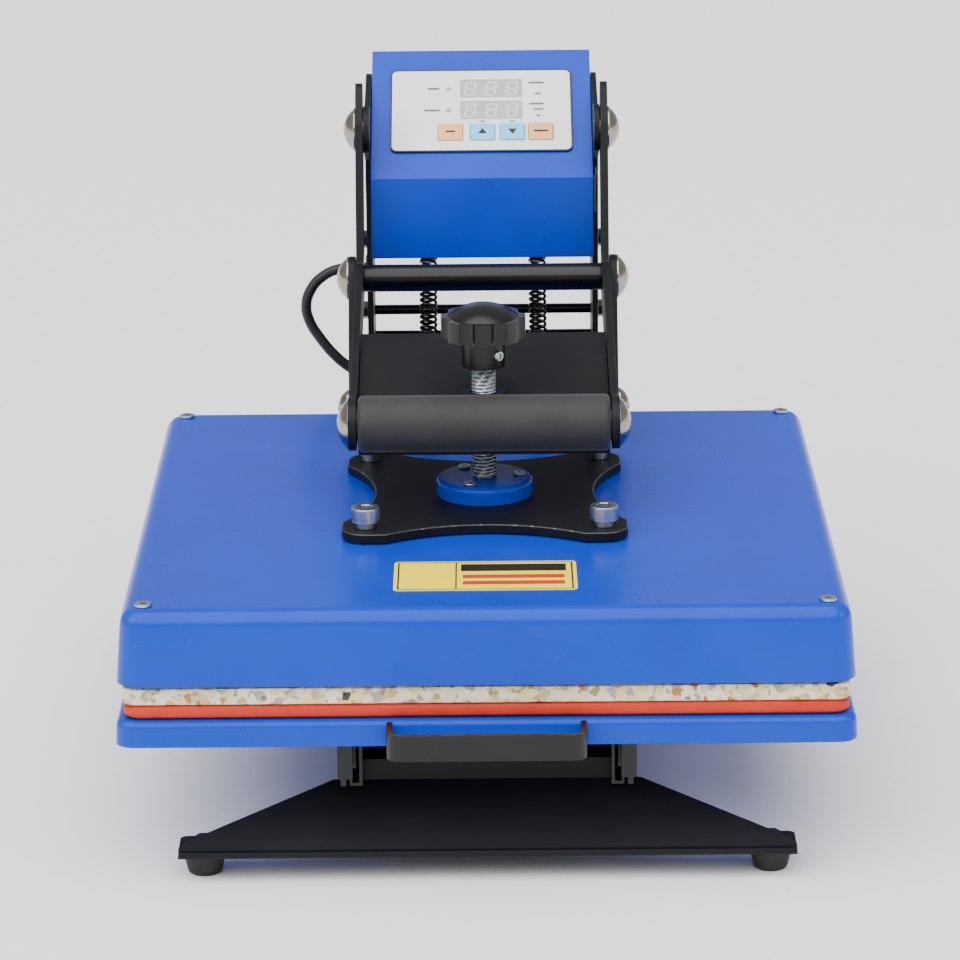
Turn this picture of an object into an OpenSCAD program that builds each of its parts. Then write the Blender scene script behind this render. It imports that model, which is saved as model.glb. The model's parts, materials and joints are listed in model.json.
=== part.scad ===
/* [Platen] */
// Side of the square cover at its bottom edge
platen_w = 386; // [360:1:410]
// Height of the pressed cover
cover_h = 40; // [34:1:46]
// Height of the cover's top face above the floor
cover_top = 150; // [148:1:152]
// Side of the silicone mat and the foam pad
pad_w = 380; // [350:1:384]
// Side of the sliding lower tray
tray_w = 388; // [384:1:392]
// Thickness of sheet metal covers
skin = 1.5; // [1:0.1:2]

/* [Base] */
// Half width of the front and rear foot aprons at the floor
apron_half = 163; // [150:1:170]
// Half width of the base beam
beam_half = 66; // [66:1:66]
// Height of the rubber feet
foot_h = 14; // [12:1:15]

/* [Linkage] */
// Radius of the grip sleeve
grip_r = 15.5; // [14:0.5:16]
// Radius of the knee tube between the arms
knee_r = 8; // [7:0.5:8.5]
// Radius of the pressure screw
screw_r = 7; // [6:0.5:7]
// Radius of the pressure knob over its lobes
knob_r = 23.5; // [20:0.5:26]

/* [Control box] */
// Half width of the control box
box_half = 65.7; // [60:0.1:65.8]
// Slope of the control face
face_tilt = 34; // [30:1:36]
// Side of a panel key
key_w = 14.6; // [13:0.1:15]

/* [Hidden] */

// Depth: the middle of the footprint stands on the origin.
handle_reach = 216;
apron_reach = 272;
mid_y = (apron_reach - handle_reach) / 2;

// Pivots, as [depth, height], with the platen's middle at depth 0.
top_pivot = [185, cover_top + 173.5];
knee_pivot = [158, cover_top + 90];
grip_centre = [-38, cover_top + 57];
link_pivot = [120, cover_top + 22];
yoke_pivot = [225, cover_top + 25];
spring_low = [195, cover_top + 24];
spring_high = [240, cover_top + 94];
tie_at = [250, cover_top + 47];

// Layers across the width, from the middle outwards.
wall_in = 61;
wall_out = 65;
column_in = 66;
column_t = 3.5;
arm_in = 70;
arm_t = 4.2;
link_in = 74.8;
link_t = 4;
front_half = 69.5;
washer_t = 1.2;

// Heights of the drawer and platen stack.
cover_z = cover_top - cover_h;
plate_z = cover_z - 1;
plate_t = 15;
pad_top = plate_z - 0.5;
pad_t = 9.5;
mat_t = 8;
tray_top = pad_top - pad_t - mat_t;
tray_h = 14;
tray_z = tray_top - tray_h;
beam_z = 42;
beam_h = 11.5;
beam_front = -150;
beam_rear = 262;
rail_h = 35;
rail_front = -160;
rail_len = 300;
fit = 0.06;
bolt_grid = 65;
screw_grid = 178;
spring_x = 33;
apron_t = 3;
bracket_t = 5;
bracket_z = cover_top + 1;
disc_z = bracket_z + bracket_t;
disc_h = 9.5;
disc_r = 27;
nut_r = 13;
box_z = cover_top + 97.6;
box_front = 175;
crease_z = cover_top + 146;
face_len = 105.5;
face_y = face_len * cos(face_tilt);
box_rear = box_front + face_y;
box_top = crease_z + face_len * sin(face_tilt);
overlay_t = 1.2;
overlay_w = 108;
overlay_l = 67;
overlay_y = 21;
key_row = 36.3;
key_h = 13.4;
key_gap = 0.35;
key_x = [-18.5, 0.6, 18.5, 35.3];
window_x = 6;
window_w = 37;
window_h = 15;
window_y = [54.5, 72.5];
lamp_x = -19.5;
switch_y = 193;
switch_z = cover_top + 135;

// The heater lead loops out of the column's left side and back in lower down.
cable_r = 3.2;
grommet_z = [226, 160];
cable_route = [
    [-71, 240, 226], [-78, 240, 226], [-88, 241, 225], [-98, 242, 220],
    [-105, 242, 212], [-108, 242, 202], [-106, 242, 192], [-100, 241, 182],
    [-91, 240, 171], [-83, 240, 164], [-76, 240, 160], [-71, 240, 160]
];

// ---------- helpers ----------

// Puts a piece on the footprint's middle and gives it its colour.
module placed(shade) color(shade) translate([0, -mid_y, 0]) children();

// Extrudes an outline drawn as depth and height across the width from x.
module across(x, t) translate([x, 0, 0]) rotate([90, 0, 90]) linear_extrude(t) children();

// Repeats children on the left and on the right.
module both_sides() {
    children();
    mirror([1, 0, 0]) children();
}

// Keeps a piece on the right for side 1 and mirrors it for side -1.
module on_side(side) mirror([side < 0 ? 1 : 0, 0, 0]) children();

// Four places on a square grid.
module four(g) for (x = [-g, g], y = [-g, g]) translate([x, y, 0]) children();

// Points on an arc about c, and the point where two lines of given angles meet.
function arc_points(c, r, a0, a1, n = 8) = [for (i = [0 : n])
    let (a = a0 + (a1 - a0) * i / n) c + r * [cos(a), sin(a)]];
function meet(p, a, q, b) = let (u = [cos(a), sin(a)], v = [cos(b), sin(b)])
    p + u * cross(q - p, v) / cross(u, v);

// Outline of a flat bar that runs through round places, as one closed polygon.
// The outer side of each bend is an arc and the inner side is a sharp corner.
module chain(places, radii) {
    n = len(places);
    head = [for (i = [0 : n - 2]) let (d = places[i + 1] - places[i]) atan2(d.y, d.x)];
    lean = [for (i = [0 : n - 2])
        acos((radii[i] - radii[i + 1]) / norm(places[i + 1] - places[i]))];
    function bend(j, s) = let (
        n0 = head[j - 1] + s * lean[j - 1], n1 = head[j] + s * lean[j],
        turn = (n1 - n0 + 540) % 360 - 180, c = places[j], r = radii[j])
        s * turn < 0 ? arc_points(c, r, n0, n0 + turn) : [
            meet(c + r * [cos(n0), sin(n0)], n0 + 90, c + r * [cos(n1), sin(n1)], n1 + 90)];
    function flipped(p) = [for (i = [len(p) - 1 : -1 : 0]) p[i]];
    polygon(concat(
        arc_points(places[0], radii[0], head[0] + lean[0], head[0] + 360 - lean[0], 24),
        [for (j = [1 : n - 2]) each bend(j, -1)],
        arc_points(places[n - 1], radii[n - 1], head[n - 2] - lean[n - 2],
            head[n - 2] + lean[n - 2], 24),
        [for (j = [n - 2 : -1 : 1]) each flipped(bend(j, 1))]
    ));
}

// A rectangle with round corners, from its middle.
module soft_rect(w, l, r) {
    square([w - 2 * r, l], center = true);
    square([w, l - 2 * r], center = true);
    for (x = [-1, 1], y = [-1, 1])
        translate([x * (w / 2 - r), y * (l / 2 - r)]) circle(r, $fn = 32);
}

// A square pressed sheet form with round corners and a rounded top edge.
module pressed_form(w, z0, z1, corner, edge, draft) {
    steps = 6;
    rim = corner - draft;
    profile = concat(
        [[0, z0], [corner, z0]],
        [for (i = [0 : steps]) let (a = 90 * i / steps)
            [rim - edge + edge * cos(a), z1 - edge + edge * sin(a)]],
        [[0, z1]]
    );
    hull() four(w / 2 - corner) rotate_extrude($fn = 48) polygon(profile);
}

// Low domed head across the width, with its flat face at x.
module dome(x, at, r, h) {
    ball = (r * r + h * h) / (2 * h);
    translate([x, at.x, at.y]) rotate([0, 90, 0])
        rotate_extrude($fn = 48) intersection() {
            translate([0, h - ball]) circle(ball, $fn = 96);
            square([r, h]);
        }
}

// Round bar across the width between two places.
module rod(x0, x1, at, r) translate([x0, at.x, at.y]) rotate([0, 90, 0])
    cylinder(h = x1 - x0, r = r, $fn = 48);

// Points on a smooth curve through a hand-made route.
function smooth(p0, p1, p2, p3, t) = 0.5 * (2 * p1 + (p2 - p0) * t
    + (2 * p0 - 5 * p1 + 4 * p2 - p3) * t * t + (3 * p1 - p0 - 3 * p2 + p3) * t * t * t);
function smooth_route(p, n) = [
    for (i = [0 : len(p) - 2], k = [0 : n - 1])
        smooth(p[max(i - 1, 0)], p[i], p[i + 1], p[min(i + 2, len(p) - 1)], k / n),
    p[len(p) - 1]
];
function unit(v) = v / norm(v);

// A tube of given radius swept along points, kept from twisting by one fixed side vector.
module swept(points, r, sides, side) {
    n = len(points);
    rings = [for (i = [0 : n - 1])
        let (t = unit(points[min(i + 1, n - 1)] - points[max(i - 1, 0)]),
             u = unit(cross(side, t)), v = cross(t, u))
        for (k = [0 : sides - 1]) let (a = 360 * k / sides)
            points[i] + r * (cos(a) * u + sin(a) * v)];
    walls = [for (i = [0 : n - 2], k = [0 : sides - 1])
        let (j = (k + 1) % sides)
        [i * sides + k, (i + 1) * sides + k, (i + 1) * sides + j, i * sides + j]];
    polyhedron(rings, concat(
        [[for (k = [0 : sides - 1]) k]],
        walls,
        [[for (k = [sides - 1 : -1 : 0]) (n - 1) * sides + k]]
    ));
}

// Stands children on the sloped control face: x across, y up the slope, z outwards.
module on_face() translate([0, box_front, crease_z]) rotate([face_tilt, 0, 0]) children();

// ---------- base ----------

module base_beam() placed("#2b2d30") difference() {
    translate([-beam_half, beam_front, beam_z]) cube([2 * beam_half, beam_rear - beam_front, beam_h]);
    translate([-beam_half + 2, beam_front + 2, beam_z + 2])
        cube([2 * beam_half - 4, beam_rear - beam_front - 4, beam_h - 4]);
    for (y = [-125, 235], x = [-45, 45]) translate([x, y, beam_z - 1]) cylinder(h = 4, r = 2.6, $fn = 24);
}

// Bent sheet foot: a flange under the beam, a sloped skirt and a return flange.
module apron_sheet() {
    drop = beam_z - foot_h;
    run = 42;
    neck = 80;
    flange = 40;
    intersection() {
        across(-apron_half, 2 * apron_half) polygon([
            [-flange, beam_z - apron_t], [-flange, beam_z], [0, beam_z],
            [run, foot_h], [run - apron_t, foot_h], [-2, beam_z - apron_t]
        ]);
        translate([0, 0, foot_h - 1]) linear_extrude(drop + 2) polygon([
            [-beam_half, -flange], [beam_half, -flange], [beam_half, -3], [neck, -1],
            [apron_half - 3, run - 9], [apron_half, run - 6], [apron_half, run],
            [-apron_half, run], [-apron_half, run - 6], [-apron_half + 3, run - 9],
            [-neck, -1], [-beam_half, -3]
        ]);
    }
    difference() {
        translate([0, run - 13.5, foot_h]) linear_extrude(apron_t) soft_rect(2 * apron_half, 25, 4);
        for (x = [-150, 150]) translate([x, run - 18.5, foot_h - 1]) cylinder(h = 6, r = 3.2, $fn = 24);
    }
}

module front_apron() placed("#242629")
    translate([0, beam_front, 0]) mirror([0, 1, 0]) apron_sheet();

module rear_apron() placed("#242629") translate([0, apron_reach - 42, 0]) apron_sheet();

foot_places = [
    for (x = [-150, 150], y = [beam_front - 23.5, apron_reach - 18.5]) [x, y]
];

module feet() placed("#151516") for (p = foot_places) translate([p.x, p.y, 0]) difference() {
    rotate_extrude($fn = 48) polygon([
        [0, 0], [8, 0], [9, 1], [12, foot_h - 1], [12, foot_h], [0, foot_h]
    ]);
    translate([0, 0, 3]) cylinder(h = foot_h, r = 3.1, $fn = 32);
    translate([0, 0, -1]) cylinder(h = 6, r = 5.6, $fn = 32);
}

module foot_screws() placed("#b9bcc0") for (p = foot_places) translate([p.x, p.y, 0]) {
    translate([0, 0, 5]) cylinder(h = foot_h + 1, r = 3, $fn = 32);
    translate([0, 0, 2]) cylinder(h = 3, r = 5.4, $fn = 32);
    translate([0, 0, foot_h + apron_t]) cylinder(h = 2.8, r = 5.5, $fn = 6);
}

module slide_rails() placed("#1d1e20") both_sides()
    translate([0, rail_front, 0]) rotate([90, 0, 0]) mirror([0, 0, 1]) linear_extrude(rail_len)
        polygon([
            [beam_half, beam_z], [73, beam_z], [73, beam_z + 6], [71.5, beam_z + 6],
            [71.5, beam_z + 2], [beam_half + 2, beam_z + 2], [beam_half + 2, beam_z + rail_h - 3],
            [71.5, beam_z + rail_h - 3], [71.5, beam_z + rail_h - 7], [73, beam_z + rail_h - 7],
            [73, beam_z + rail_h - 1], [beam_half, beam_z + rail_h - 1]
        ]);

// Side plate of the column, cut back below the top pivot to leave the rocker switch free.
module column_outline() {
    polygon([
        [198, beam_z], [beam_rear, beam_z], [beam_rear, box_top - 30], [255, box_top - 12],
        [200, crease_z + 34], top_pivot + [-4, 13], top_pivot - [4, 13],
        [207, top_pivot.y - 24], [207, cover_top + 42], [203, cover_top + 8]
    ]);
    translate(top_pivot) circle(14, $fn = 48);
    translate(yoke_pivot) circle(19, $fn = 48);
}

module column_plate() difference() {
    across(column_in, column_t) column_outline();
    for (p = [top_pivot, yoke_pivot])
        rod(column_in - 1, column_in + column_t + 1, p, (p == yoke_pivot ? 8 : 6) + fit);
    for (p = [spring_high, tie_at]) rod(column_in - 1, column_in + column_t + 1, p, 3 + fit);
}

module column_plate_left() placed("#232527") difference() {
    on_side(-1) column_plate();
    for (z = grommet_z) translate([-column_in - column_t - 1, 240, z]) rotate([0, 90, 0])
        cylinder(h = column_t + 2, r = 6 + fit, $fn = 48);
}

module column_plate_right() placed("#232527") column_plate();

module column_back_plate() placed("#232527") difference() {
    translate([-column_in, 256, beam_z + beam_h]) cube([2 * column_in, 3, 128]);
    for (x = [-30, 30]) translate([x, 255, 110]) rotate([-90, 0, 0]) cylinder(h = 5, r = 8, $fn = 48);
}

// Spring anchor rod and lower tie rod, each with a nut at both ends.
module cross_rods() placed("#1c1d1f") for (p = [spring_high, tie_at]) {
    rod(-column_in - column_t - 5, column_in + column_t + 5, p, 3);
    both_sides() translate([column_in + column_t, p.x, p.y]) rotate([0, 90, 0]) difference() {
        cylinder(h = 4, r = 5.5, $fn = 6);
        cylinder(h = 9, r = 3, center = true, $fn = 48);
    }
}

module hinge_shaft() placed("#8e9194")
    rod(-column_in - column_t, column_in + column_t, yoke_pivot, 8);

module hinge_bolts() placed("#c9cbcc") both_sides() {
    rod(column_in + column_t, column_in + column_t + washer_t, yoke_pivot, 12.5);
    dome(column_in + column_t + washer_t, yoke_pivot, 12, 5.5);
}

// ---------- control box ----------

module box_outline(inset) polygon([
    [box_front + inset, box_z + inset], [box_front + inset, crease_z - inset * 0.3],
    [box_rear - inset * 0.3, box_top - inset * 1.2], [box_rear + (inset > 0 ? 1 : 0), box_top - inset * 1.2],
    [box_rear + (inset > 0 ? 1 : 0), box_z + inset]
]);

module box_shell() placed("#1c57c0") difference() {
    across(-box_half, 2 * box_half) box_outline(0);
    across(-box_half + skin, 2 * (box_half - skin)) box_outline(skin);
    on_face() translate([0, overlay_y + overlay_l / 2, -5]) linear_extrude(7) soft_rect(94, 54, 2);
    translate([box_half - 3, switch_y - 11, switch_z - 9.5]) cube([4, 22, 19]);
    for (x = [-52, 52]) translate([x, box_rear - 12, box_z - 1]) cylinder(h = 4, r = 3, $fn = 24);
}

module box_rear_cover() placed("#1b4fae") difference() {
    union() {
        translate([-box_half, box_rear, box_z]) cube([2 * box_half, skin, box_top - box_z]);
        translate([-box_half + 2, box_rear - 8, box_z + 2]) cube([2 * box_half - 4, 8, skin]);
    }
    translate([-13, box_rear - 1, box_z + 16]) cube([26, 4, 18]);
    for (x = [-52, 52], z = [box_z + 12, box_top - 12]) translate([x, box_rear - 1, z])
        rotate([-90, 0, 0]) cylinder(h = 4, r = 1.8, $fn = 24);
    for (x = [-52, 52]) translate([x, box_rear - 12, box_z]) cylinder(h = 5, r = 4, $fn = 24);
}

module panel_overlay() placed("#dadde2") on_face() difference() {
    translate([0, overlay_y + overlay_l / 2, 0]) linear_extrude(overlay_t)
        soft_rect(overlay_w, overlay_l, 4);
    for (x = key_x) translate([x, key_row, -1]) linear_extrude(4)
        soft_rect(key_w + 2 * key_gap, key_h + 2 * key_gap, 1.5);
    for (y = window_y) translate([window_x - window_w / 2, y - window_h / 2, -1])
        cube([window_w, window_h, 4]);
    for (y = window_y) translate([lamp_x, y, -1]) cylinder(h = 4, r = 1.6, $fn = 24);
}

module display_windows() placed("#8f949b") on_face() for (y = window_y) {
    translate([window_x - window_w / 2 + 0.1, y - window_h / 2 + 0.1, -6])
        cube([window_w - 0.2, window_h - 0.2, 6.9]);
    translate([lamp_x, y, -6]) cylinder(h = 6.9, r = 1.5, $fn = 24);
}

module circuit_board() placed("#1f6b3f") on_face()
    translate([0, overlay_y + overlay_l / 2, -7.8]) linear_extrude(1.6) soft_rect(90, 52, 1.5);

module switch_bezel() placed("#151617") difference() {
    translate([box_half, switch_y - 13, switch_z - 11.5]) cube([2.2, 26, 23]);
    translate([box_half - 1, switch_y - 9.6, switch_z - 8.2]) cube([5, 19.2, 16.4]);
}

module power_inlet() placed("#151617") translate([0, box_rear + skin, box_z + 25]) {
    difference() {
        translate([-16, 0, -12]) cube([32, 2.5, 24]);
        translate([-11, -1, -7]) cube([22, 5, 14]);
    }
    difference() {
        translate([-12.5, -20, -8.5]) cube([25, 20, 17]);
        translate([-11, -17, -7]) cube([22, 18, 14]);
    }
    for (x = [-7, 0, 7]) translate([x - 1, -17, x == 0 ? 1 : -3]) cube([2, 15, 4]);
}

module box_screws() placed("#b9bcc0")
    for (x = [-52, 52], z = [box_z + 12, box_top - 12]) translate([x, box_rear + skin, z])
        rotate([-90, 0, 0]) {
            cylinder(h = 2, r = 3.4, $fn = 32);
            translate([0, 0, -5]) cylinder(h = 5, r = 1.7, $fn = 24);
        }

module heater_cable() placed("#141415")
    swept(smooth_route(cable_route, 4), cable_r, 10, [0, 1, 0]);

module cable_grommets() placed("#0f0f10")
    for (z = grommet_z) translate([-column_in, 240, z]) rotate([0, -90, 0]) difference() {
        union() {
            cylinder(h = 5, r = 6, $fn = 48);
            translate([0, 0, column_t]) cylinder(h = 1.5, r = 8, $fn = 48);
        }
        cylinder(h = 20, r = cable_r + 0.3, center = true, $fn = 48);
    }

// ---------- drawer ----------

module lower_tray() placed("#1c57c0") difference() {
    pressed_form(tray_w, tray_z, tray_top, 10, 4, 0.5);
    translate([0, 0, tray_z - 1]) linear_extrude(tray_h - 1) soft_rect(tray_w - 5, tray_w - 5, 8);
}

// Angle brackets under the tray, with a front tab that hides the slide's end.
module drawer_brackets() placed("#1d1e20") both_sides() {
    translate([74.5, -168, beam_z + 3]) cube([3, 260, tray_top - 2 - beam_z - 3]);
    translate([74.5, -168, tray_top - 4]) cube([24, 260, 2]);
    translate([71, -171, beam_z + 8]) cube([8, 3, rail_h + 3.9]);
}

module slide_runners() placed("#8b8e92") both_sides()
    translate([69.2, rail_front + 2, beam_z + 9]) cube([5.3, 240, rail_h - 19]);

module silicone_mat() placed("#d8482e")
    translate([0, 0, tray_top]) linear_extrude(mat_t) soft_rect(pad_w, pad_w, 9);

module foam_pad() placed("#e6ddb4")
    translate([0, 0, tray_top + mat_t]) linear_extrude(pad_t) soft_rect(pad_w, pad_w, 6);

// Flat bar bow in front of the tray, with two legs back to the tray's skirt.
module pull_handle() placed("#111213") translate([0, -tray_w / 2, tray_z - 0.5]) {
    reach = handle_reach - tray_w / 2;
    linear_extrude(14) difference() {
        translate([0, -reach / 2]) union() {
            soft_rect(104, reach, 7);
            translate([-52, 0]) square([104, reach / 2]);
        }
        translate([0, -reach / 2 + 2]) union() {
            soft_rect(98, reach - 2, 5);
            translate([-49, 0]) square([98, reach / 2]);
        }
    }
    both_sides() translate([49, 0, 1]) cube([3, 0.2, 8]);
}

module handle_screws() placed("#b9bcc0") for (x = [-50.5, 50.5])
    translate([x, -tray_w / 2 + 2.5, tray_z + 5]) rotate([-90, 0, 0]) cylinder(h = 3, r = 4, $fn = 24);

// ---------- yoke ----------

// Cheek of the yoke: a front box, a waist behind it and lobes at both pivots.
module yoke_cheek() {
    polygon([
        [-21, cover_top + 34], [-21, cover_top + 55.5], [66, cover_top + 80.5], [80, cover_top + 60],
        [120, cover_top + 50], yoke_pivot + [0, 13], yoke_pivot - [0, 13],
        link_pivot - [0, 10.5], [104, cover_top + 16], [86, cover_top + 32], [45, cover_top + 32]
    ]);
    translate(yoke_pivot) circle(13, $fn = 48);
    translate(link_pivot) circle(10.5, $fn = 48);
}

module yoke_frame() placed("#1e2022") {
    top_t = 4;
    difference() {
        union() {
            both_sides() across(wall_in, wall_out - wall_in) yoke_cheek();
            across(-front_half, 2 * front_half) polygon([
                [-21, cover_top + 55.5], [66, cover_top + 80.5], [66, cover_top + 80.5 - top_t],
                [-17.2, cover_top + 55.7 - top_t], [-17.2, cover_top + 34], [-21, cover_top + 34]
            ]);
            both_sides() rod(wall_in, link_in - 0.3, link_pivot, 10.5);
        }
        cylinder(h = 500, r = nut_r + fit, $fn = 64);
        both_sides() rod(wall_in - 1, wall_out + 1, yoke_pivot, 8 + fit);
        both_sides() rod(wall_in - 1, wall_out + 1, spring_low, 4 + fit);
    }
}

module pressure_nut() placed("#5c5f62") difference() {
    union() {
        translate([0, 0, cover_top + 40]) cylinder(h = 25, r = nut_r, $fn = 64);
        translate([0, 0, cover_top + 38]) cylinder(h = 12, r = 16, $fn = 64);
    }
    cylinder(h = 500, r = screw_r + fit, $fn = 64);
}

module spring_rod() placed("#8e9194") rod(-wall_out, wall_out, spring_low, 4);

// ---------- platen ----------

module platen_cover() placed("#1c57c0") difference() {
    pressed_form(platen_w, cover_z, cover_top, 14, 9, 2.5);
    pressed_form(platen_w - 2 * skin, cover_z - 1, cover_top - skin, 13, 8, 2.5);
    four(bolt_grid) translate([0, 0, cover_top - 5]) cylinder(h = 9, r = 4.2, $fn = 32);
    four(screw_grid) translate([0, 0, cover_top - 5]) cylinder(h = 9, r = 2.2, $fn = 24);
}

module heating_plate() placed("#b4b6b8") difference() {
    translate([0, 0, plate_z]) linear_extrude(plate_t) soft_rect(378, 378, 8);
    four(bolt_grid) translate([0, 0, plate_z + 5]) cylinder(h = plate_t, r = 4 + fit, $fn = 32);
    element_groove(4.1);
    four(screw_grid) translate([0, 0, plate_z + 8]) cylinder(h = plate_t, r = 2.2, $fn = 24);
}

// Serpentine of the heating element: straight runs joined by half rings.
module element_groove(r) {
    runs = 6;
    pitch = 50;
    half_run = 125;
    z = plate_z + 8;
    for (i = [0 : runs - 1]) translate([-half_run, (i - (runs - 1) / 2) * pitch, z])
        rotate([0, 90, 0]) cylinder(h = 2 * half_run, r = r, $fn = 24);
    for (i = [0 : runs - 2]) translate([(i % 2 == 0 ? 1 : -1) * half_run, (i + 1 - runs / 2) * pitch, z])
        rotate([0, 0, i % 2 == 0 ? -90 : 90]) rotate_extrude(angle = 180, $fn = 48)
            translate([pitch / 2, 0]) circle(r, $fn = 24);
}

module heating_element() placed("#6b4a3a") element_groove(4);

module insulation() placed("#e9e4d4") difference() {
    translate([0, 0, plate_z + plate_t]) linear_extrude(12) soft_rect(370, 370, 8);
    four(bolt_grid) translate([0, 0, plate_z + plate_t - 1]) cylinder(h = 20, r = 8.5, $fn = 32);
    four(screw_grid) translate([0, 0, plate_z + plate_t - 1]) cylinder(h = 20, r = 6, $fn = 32);
}

module standoffs() placed("#a7a9ac") {
    z = plate_z + plate_t;
    h = cover_top - skin - z;
    four(bolt_grid) translate([0, 0, z]) difference() {
        cylinder(h = h, r = 8, $fn = 32);
        translate([0, 0, -1]) cylinder(h = h + 2, r = 4 + fit, $fn = 32);
    }
    four(screw_grid) translate([0, 0, z]) difference() {
        cylinder(h = h - 3.5, r = 4.5, $fn = 32);
        translate([0, 0, -1]) cylinder(h = h + 2, r = 2 + fit, $fn = 24);
    }
}

// Four-armed plate with concave sides and round lobes at its corners.
module floating_bracket() placed("#1a1b1d") difference() {
    translate([0, 0, bracket_z]) linear_extrude(bracket_t) difference() {
        soft_rect(156, 156, 13);
        for (a = [0 : 90 : 270]) rotate(a) translate([0, 155]) circle(94, $fn = 160);
    }
    four(bolt_grid) translate([0, 0, bracket_z - 1]) cylinder(h = 9, r = 4.2, $fn = 32);
    translate([0, 0, bracket_z - 1]) cylinder(h = 9, r = 13 + fit, $fn = 48);
}

module bracket_bolts() placed("#b7babd") four(bolt_grid) {
    difference() {
        translate([0, 0, disc_z + 3.5]) cylinder(h = 8.5, r = 7.5, $fn = 48);
        translate([0, 0, disc_z + 7]) cylinder(h = 6, r = 4, $fn = 6);
    }
    translate([0, 0, disc_z]) cylinder(h = 3.5, r = 5.2, $fn = 32);
    translate([0, 0, plate_z + 6]) cylinder(h = disc_z - plate_z - 6, r = 4, $fn = 32);
    translate([0, 0, cover_top]) difference() {
        cylinder(h = 1, r = 8, $fn = 32);
        cylinder(h = 3, r = 4.1, center = true, $fn = 32);
    }
}

module cover_screws() placed("#c4c6c8") four(screw_grid) {
    translate([0, 0, cover_top]) cylinder(h = 1.6, r = 4.5, $fn = 32);
    translate([0, 0, cover_top - 20]) cylinder(h = 20, r = 2, $fn = 24);
}

module pressure_disc() placed("#1c57c0") difference() {
    translate([0, 0, disc_z]) rotate_extrude($fn = 96) {
        square([disc_r, disc_h - 3]);
        square([disc_r - 3, disc_h]);
        translate([disc_r - 3, disc_h - 3]) circle(3, $fn = 48);
    }
    translate([0, 0, disc_z - 1]) cylinder(h = 6, r = nut_r, $fn = 64);
    translate([0, 0, disc_z - 1]) cylinder(h = 20, r = screw_r + fit, $fn = 64);
    disc_pattern() translate([0, 0, disc_z - 1]) cylinder(h = 20, r = 1.7, $fn = 24);
}

module disc_pattern() for (a = [5, 125, 245]) rotate(a) translate([19.5, 0, 0]) children();

module disc_screws() placed("#c9cbcd") disc_pattern() {
    translate([0, 0, disc_z + disc_h]) cylinder(h = 1.6, r = 3.4, $fn = 32);
    translate([0, 0, disc_z]) cylinder(h = disc_h, r = 1.6, $fn = 24);
}

module thrust_washer() placed("#b08d3c")
    translate([0, 0, bracket_z]) cylinder(h = bracket_t, r = 13, $fn = 48);

module plain_label() placed("#e8c51c")
    translate([0, -133, cover_top]) linear_extrude(0.3) soft_rect(97, 49, 3);

// ---------- screw ----------

module pressure_screw() placed("#a9adb1") {
    translate([0, 0, disc_z]) cylinder(h = 4.8, r = 12, $fn = 48);
    translate([0, 0, disc_z + 4.8]) cylinder(h = cover_top + 100 - disc_z - 4.8, r = screw_r, $fn = 64);
}

// Eight-lobed star head on a round hub, with a shallow domed cap.
module pressure_knob() placed("#141516") {
    z = cover_top + 96;
    rim = knob_r - 4;
    difference() {
        union() {
            translate([0, 0, z]) linear_extrude(12) difference() {
                circle(knob_r, $fn = 96);
                for (a = [22.5 : 45 : 359]) rotate(a) translate([knob_r + 2.2, 0]) circle(5.4, $fn = 32);
            }
            translate([0, 0, z + 12]) rotate_extrude($fn = 64) intersection() {
                translate([0, 7 - 31]) circle(31, $fn = 128);
                square([rim, 7]);
            }
            translate([0, 0, cover_top + 79.5]) cylinder(h = 17, r = 12, $fn = 64);
        }
        translate([0, 0, cover_top + 70]) cylinder(h = 30, r = screw_r, $fn = 64);
    }
}

// ---------- handle ----------

module arm(side) on_side(side) difference() {
    kink = [60, cover_top + 69];
    neck = [-6, cover_top + 54];
    tip = [191, cover_top + 192];
    across(arm_in, arm_t)
        chain([tip, top_pivot, knee_pivot, kink, neck, grip_centre], [8, 14, 14, 13, 11, 14.5]);
    for (p = [top_pivot, knee_pivot, grip_centre]) rod(arm_in - 1, arm_in + arm_t + 1, p, 6 + fit);
}

module arm_left() placed("#232527") arm(-1);
module arm_right() placed("#232527") arm(1);

module grip_tube() placed("#7d8083") difference() {
    rod(-arm_in, arm_in, grip_centre, 9);
    rod(-arm_in - 1, arm_in + 1, grip_centre, 6);
}

module grip_sleeve() placed("#3a3b3d") {
    half = 69;
    edge = 3;
    translate([-half, grip_centre.x, grip_centre.y]) rotate([0, 90, 0])
        rotate_extrude($fn = 64) translate([9, 0]) {
            square([grip_r - 9 - edge, 2 * half]);
            translate([0, edge]) square([grip_r - 9, 2 * half - 2 * edge]);
            for (z = [edge, 2 * half - edge])
                translate([grip_r - 9 - edge, z]) circle(edge, $fn = 48);
        }
}

module knee_tube() placed("#17181a") difference() {
    rod(-arm_in, arm_in, knee_pivot, knee_r);
    rod(-arm_in - 1, arm_in + 1, knee_pivot, 6);
}

// Dome bolts of the handle: grip ends, knees and top pivots.
module arm_bolts() placed("#c9cbcc") both_sides() {
    face = arm_in + arm_t;
    rod(face, face + washer_t, top_pivot, 12.8);
    dome(face + washer_t, top_pivot, 12, 6);
    rod(column_in, face, top_pivot, 6);
    dome(face, grip_centre, 14, 6.5);
    rod(arm_in - 20, face, grip_centre, 6);
    dome(link_in + link_t + washer_t, knee_pivot, 12, 6);
    rod(link_in + link_t, link_in + link_t + washer_t, knee_pivot, 12.8);
    rod(arm_in - 20, link_in + link_t, knee_pivot, 6);
}

// ---------- links ----------

module knee_links() placed("#2a2c2e") both_sides() difference() {
    across(link_in, link_t) chain([knee_pivot, link_pivot], [13, 10]);
    rod(link_in - 1, link_in + link_t + 1, knee_pivot, 6 + fit);
    rod(link_in - 1, link_in + link_t + 1, link_pivot, 6);
}

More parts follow.
